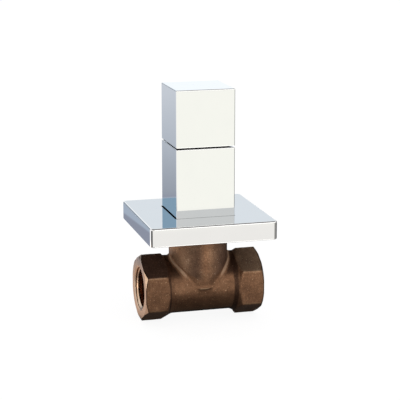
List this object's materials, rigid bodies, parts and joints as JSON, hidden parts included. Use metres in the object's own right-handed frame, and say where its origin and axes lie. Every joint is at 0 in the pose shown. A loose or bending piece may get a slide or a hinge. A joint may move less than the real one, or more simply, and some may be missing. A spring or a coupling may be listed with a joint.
{
  "type": "isolating valve",
  "caption": "In-line quarter-turn isolating valve with a brass tee-shaped body, two female threaded hexagon ends, a square wall flange, a square sleeve and a square handle.",
  "frame": {"origin": "on the stem axis, in the plane of the flange rim that meets the finished wall", "axes": "+Z along the stem from the wall to the handle, +X along the pipe towards the outlet"},
  "size_m": [0.06, 0.06, 0.1119],
  "materials": {
    "cast_brass": "rough sand-cast, dull brown",
    "machined_brass": "turned, bare",
    "chrome": "bright polished plate",
    "rubber": "matt black",
    "ceramic": "lapped",
    "plastic": "moulded, natural white",
    "steel": "stainless, bright",
    "foam": "closed-cell foam"
  },
  "bodies": {
    "valve_body": {"body_casting": "cast_brass", "headwork_housing": "machined_brass", "headwork_gasket": "rubber", "seat_seal": "rubber", "fixed_disc": "ceramic", "thrust_washer": "plastic", "fixing_tube": "machined_brass", "sleeve": "chrome", "ring_nut": "machined_brass", "flange": "chrome", "flange_grip_ring": "rubber", "wall_gasket": "foam"},
    "handle_and_spindle": {"moving_disc": "ceramic", "spindle": "machined_brass", "spindle_o_ring_lower": "rubber", "spindle_o_ring_upper": "rubber", "spindle_clip": "steel", "spindle_extension": "machined_brass", "extension_screw": "steel", "handle_insert": "plastic", "handle": "chrome", "handle_grub_screw": "steel"}
  },
  "joints": [
    {"name": "handle_turn", "type": "hinge", "parent": "valve_body", "child": "handle_and_spindle", "pos_m": [0, 0, 0.055], "axis": [0, 0, 1], "range_deg": [0, 90]}
  ]
}
